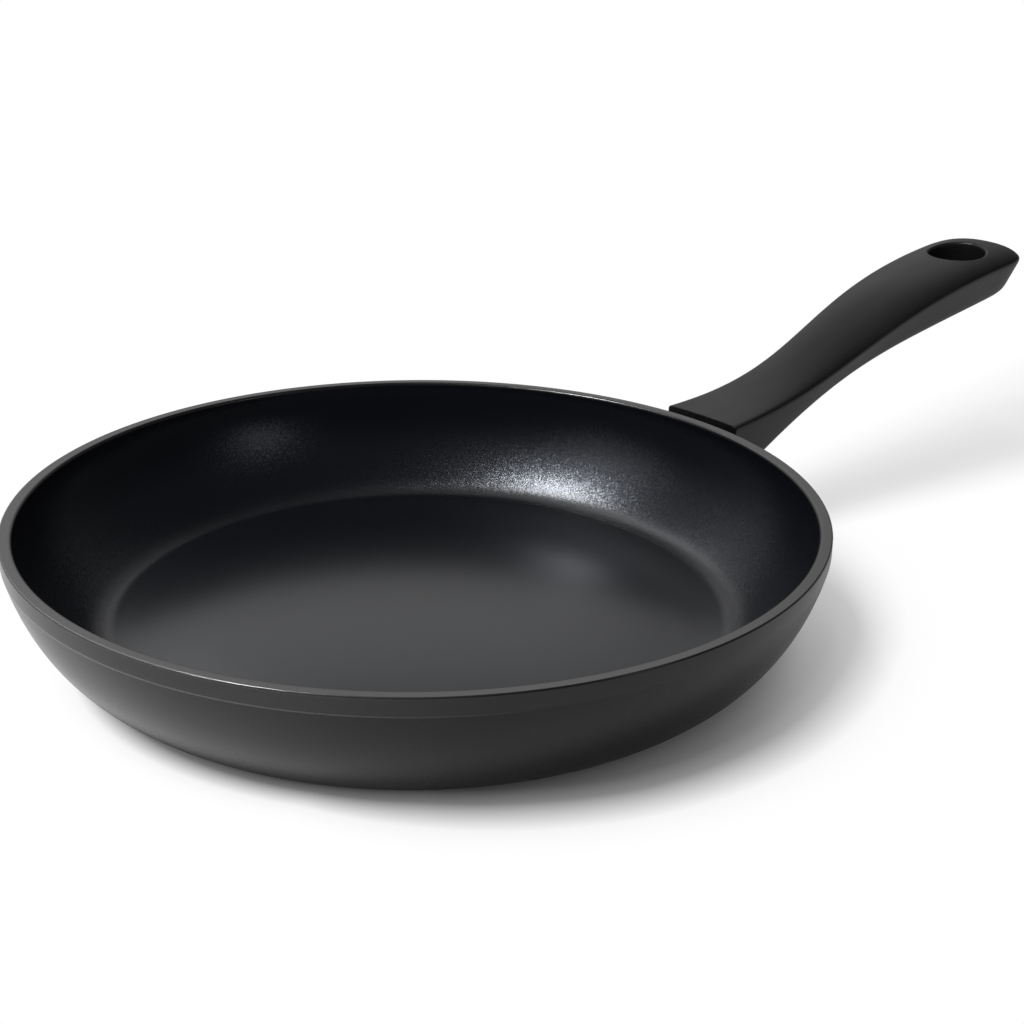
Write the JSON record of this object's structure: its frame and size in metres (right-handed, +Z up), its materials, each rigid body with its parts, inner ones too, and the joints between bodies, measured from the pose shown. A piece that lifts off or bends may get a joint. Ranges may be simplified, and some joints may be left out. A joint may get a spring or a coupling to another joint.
{
  "type": "frying pan",
  "caption": "Cast non-stick frying pan with a flat rim over a plain band, rounded heel and a rising moulded handle with a round hanging hole",
  "frame": {"origin": "Centre of the flat underside, on the hob", "axes": "+X runs along the handle from the pan's centre, +Z points up out of the bowl, +Y completes the right-handed set and lies across the handle"},
  "size_m": [0.4828, 0.28, 0.0905],
  "materials": {
    "pan_metal": "satin",
    "lining": "satin",
    "base_steel": "brushed",
    "handle": "matte",
    "insert": "plain",
    "fastener": "zinc plated"
  },
  "bodies": {
    "root": {"pan_body": "pan_metal", "nonstick_lining": "lining", "induction_plate": "base_steel", "handle_grip": "handle", "thread_insert": "insert", "handle_screw": "fastener", "spring_washer": "fastener", "flat_washer": "fastener"}
  },
  "joints": []
}
